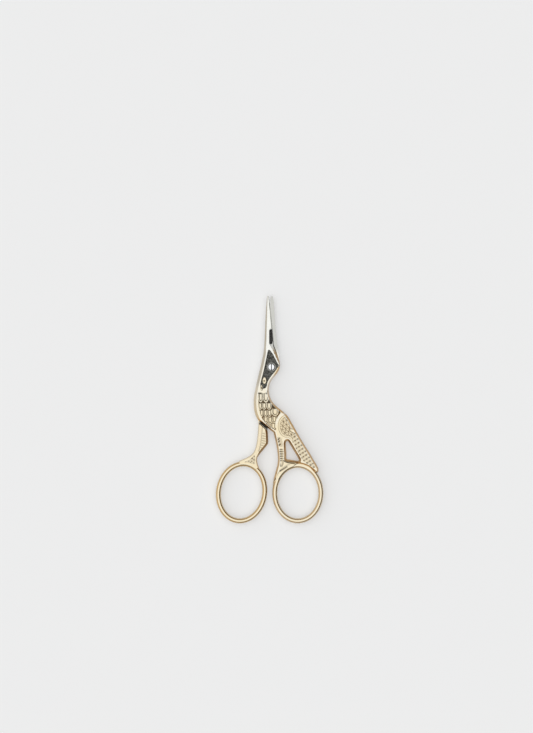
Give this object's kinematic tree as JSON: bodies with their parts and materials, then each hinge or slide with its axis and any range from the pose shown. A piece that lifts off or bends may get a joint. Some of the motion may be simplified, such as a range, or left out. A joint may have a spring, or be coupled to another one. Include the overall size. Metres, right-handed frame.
{
  "type": "embroidery scissors",
  "caption": "Small embroidery scissors in the shape of a standing stork: the beak is the blades, the legs run into two finger rings.",
  "frame": {"origin": "on the pivot axis, where the screw's flush end meets the surface that the scissors lie on", "axes": "+Y runs from the pivot to the blade tips, +Z is the pivot axis and points out of the decorated front, +X is towards the tail"},
  "size_m": [0.0435, 0.0919, 0.0043],
  "materials": {
    "gilt_front": "polished forged steel, pale gold plating on the bird, bare nickel on the blade",
    "gilt_rear": "polished forged steel, pale gold plating on the leg and ring, bare nickel on the blade",
    "screw_steel": "bright nickel plated steel"
  },
  "bodies": {
    "front": {"front_half": "gilt_front"},
    "rear": {"rear_half": "gilt_rear", "pivot_screw": "screw_steel"}
  },
  "joints": [
    {"name": "pivot", "type": "hinge", "parent": "front", "child": "rear", "pos_m": [0, 0, 0.0019], "axis": [0, 0, -1], "range_deg": [-2, 45]}
  ]
}
